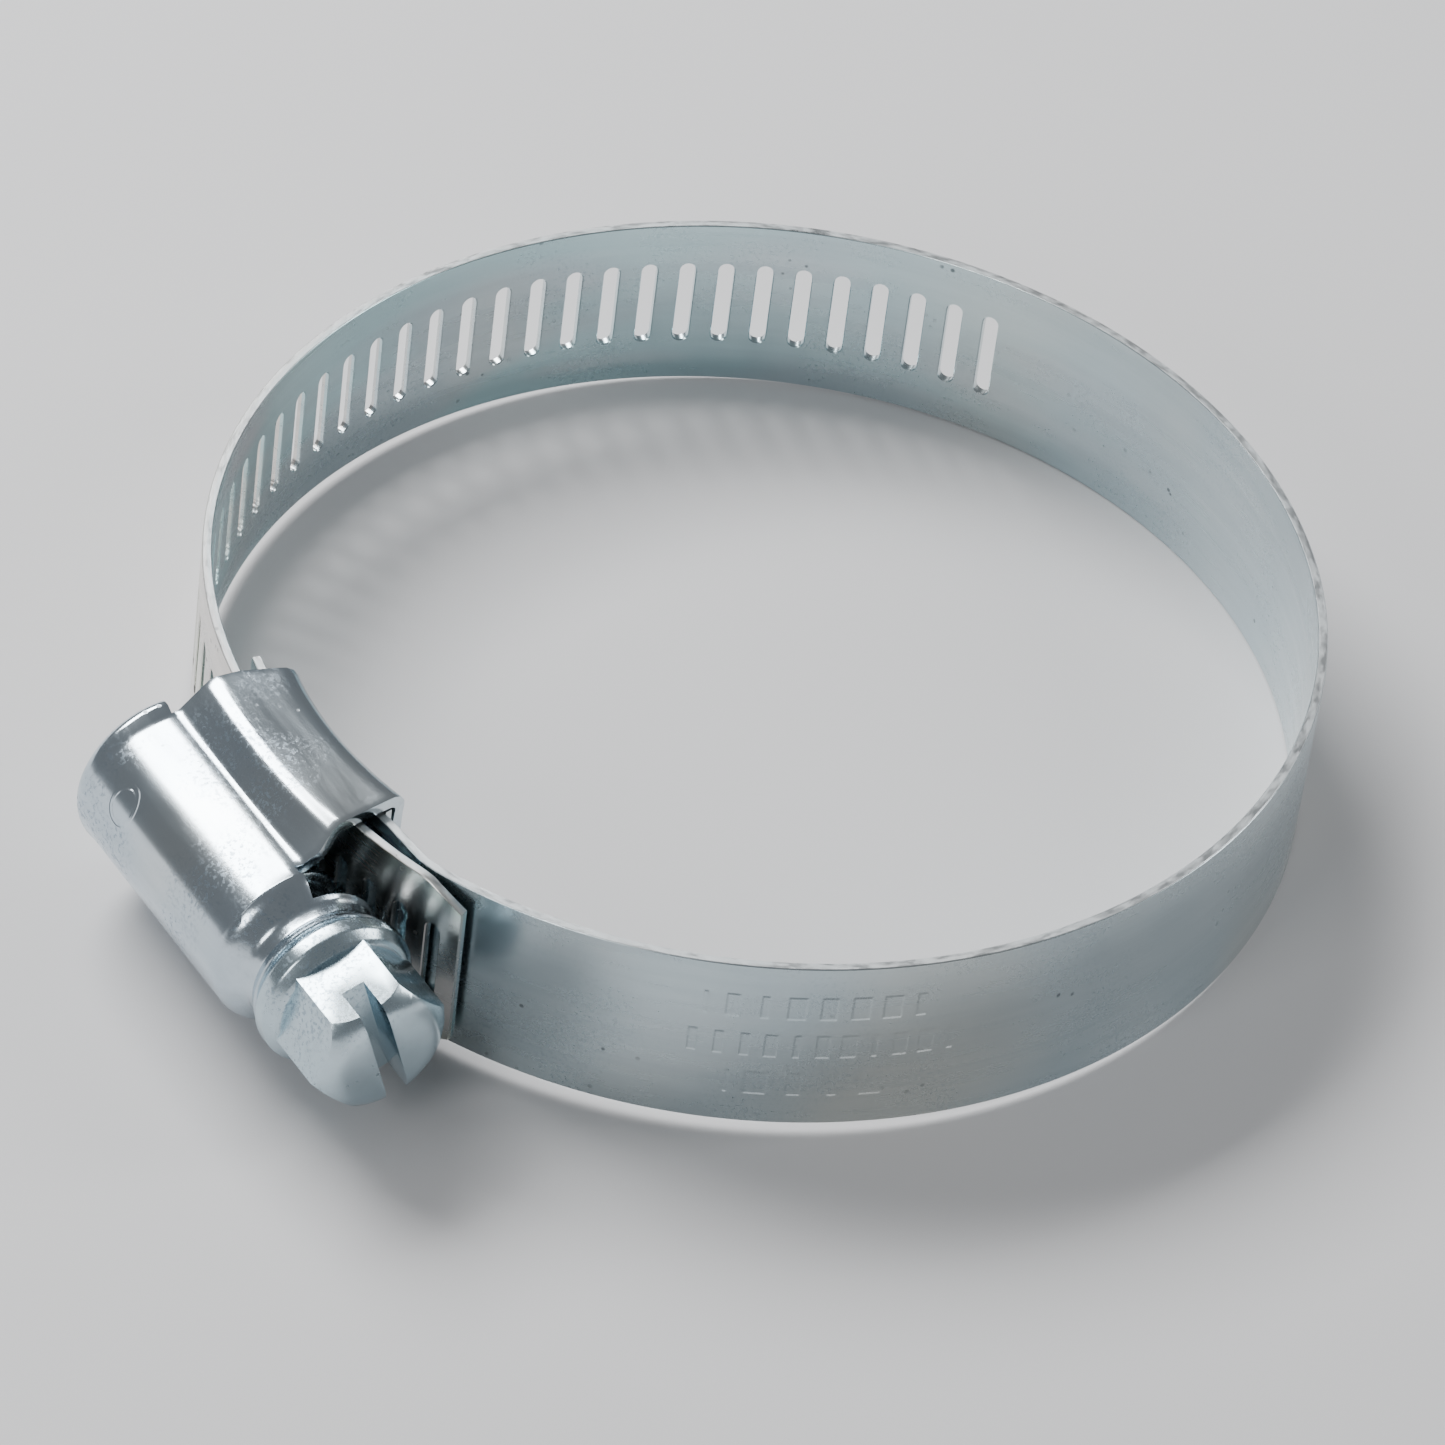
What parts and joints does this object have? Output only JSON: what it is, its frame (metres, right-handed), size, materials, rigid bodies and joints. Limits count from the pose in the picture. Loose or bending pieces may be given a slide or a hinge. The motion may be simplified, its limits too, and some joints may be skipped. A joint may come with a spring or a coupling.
{
  "type": "hose clamp",
  "caption": "Worm-drive hose clamp: a slotted steel band curled into a ring, drawn tight through a pressed housing by a slotted hex-head screw.",
  "frame": {"origin": "centre of the ring, halfway across the band's width", "axes": "+Z along the ring's axis, which is the hose's; -Y from the centre to the housing; +X along the worm screw, towards its head"},
  "size_m": [0.0696, 0.0792, 0.0148],
  "materials": {
    "housing_steel": "bright zinc plated, rolled and pressed",
    "saddle_steel": "bright zinc plated",
    "screw_steel": "bright zinc plated with a blue passivation",
    "band_steel": "bright zinc plated, satin, with a blue passivation"
  },
  "bodies": {
    "housing_body": {"housing": "housing_steel", "saddle": "saddle_steel", "band_fixed_end": "band_steel"},
    "screw": {"worm_screw": "screw_steel"},
    "band_01": {"band_stretch_01": "band_steel"},
    "band_02": {"band_stretch_02": "band_steel"},
    "band_03": {"band_stretch_03": "band_steel"},
    "band_04": {"band_stretch_04": "band_steel"},
    "band_05": {"band_stretch_05": "band_steel"},
    "band_06": {"band_stretch_06": "band_steel"},
    "band_07": {"band_stretch_07": "band_steel"},
    "band_08": {"band_stretch_08": "band_steel"},
    "band_09": {"band_stretch_09": "band_steel"},
    "band_10": {"band_stretch_10": "band_steel"},
    "free_end": {"band_free_end": "band_steel"}
  },
  "joints": [
    {"name": "screw_turn", "type": "hinge", "parent": "housing_body", "child": "screw", "pos_m": [0, -0.03866, 0], "axis": [-1, 0, 0], "range_deg": [-360, 1440]},
    {"name": "band_bend_01", "type": "hinge", "parent": "housing_body", "child": "band_01", "pos_m": [0.01565, -0.03074, 0], "axis": [0, 0, 1], "range_deg": [-0.37, 1.41]},
    {"name": "band_bend_02", "type": "hinge", "parent": "band_01", "child": "band_02", "pos_m": [0.03245, -0.01171, 0], "axis": [0, 0, 1], "range_deg": [-0.39, 1.5]},
    {"name": "band_bend_03", "type": "hinge", "parent": "band_02", "child": "band_03", "pos_m": [0.03168, 0.01367, 0], "axis": [0, 0, 1], "range_deg": [-0.5, 1.96]},
    {"name": "band_bend_04", "type": "hinge", "parent": "band_03", "child": "band_04", "pos_m": [0.01375, 0.03164, 0], "axis": [0, 0, 1], "range_deg": [-0.65, 2.55]},
    {"name": "band_bend_05", "type": "hinge", "parent": "band_04", "child": "band_05", "pos_m": [-0.01163, 0.03248, 0], "axis": [0, 0, 1], "range_deg": [-0.72, 2.8]},
    {"name": "band_bend_06", "type": "hinge", "parent": "band_05", "child": "band_06", "pos_m": [-0.032, 0.01289, 0], "axis": [0, 0, 1], "range_deg": [-0.46, 1.78]},
    {"name": "band_bend_07", "type": "hinge", "parent": "band_06", "child": "band_07", "pos_m": [-0.0342, -0.00455, 0], "axis": [0, 0, 1], "range_deg": [-0.161, 0.582]},
    {"name": "band_bend_08", "type": "hinge", "parent": "band_07", "child": "band_08", "pos_m": [-0.02751, -0.02082, 0], "axis": [0, 0, 1], "range_deg": [-0.276, 0.084]},
    {"name": "band_bend_09", "type": "hinge", "parent": "band_08", "child": "band_09", "pos_m": [-0.01818, -0.02932, 0], "axis": [0, 0, 1], "range_deg": [-0.63, 2.45]},
    {"name": "band_bend_10", "type": "hinge", "parent": "band_09", "child": "band_10", "pos_m": [-0.01368, -0.03167, 0], "axis": [0, 0, 1], "range_deg": [-0.3, 1.13]},
    {"name": "band_bend_11", "type": "hinge", "parent": "band_10", "child": "free_end", "pos_m": [-0.00888, -0.03334, 0], "axis": [0, 0, 1], "range_deg": [-1.18, 0.31]}
  ],
  "couplings": [
    {"joint": "band_bend_01", "follows": "screw_turn", "ratio": 0.00096389},
    {"joint": "band_bend_02", "follows": "screw_turn", "ratio": 0.0010286},
    {"joint": "band_bend_03", "follows": "screw_turn", "ratio": 0.0013458},
    {"joint": "band_bend_04", "follows": "screw_turn", "ratio": 0.0017544},
    {"joint": "band_bend_05", "follows": "screw_turn", "ratio": 0.0019322},
    {"joint": "band_bend_06", "follows": "screw_turn", "ratio": 0.0012214},
    {"joint": "band_bend_07", "follows": "screw_turn", "ratio": 0.00039056},
    {"joint": "band_bend_08", "follows": "screw_turn", "ratio": -0.00017778},
    {"joint": "band_bend_09", "follows": "screw_turn", "ratio": 0.0016864},
    {"joint": "band_bend_10", "follows": "screw_turn", "ratio": 0.00077389},
    {"joint": "band_bend_11", "follows": "screw_turn", "ratio": -0.00080861}
  ]
}
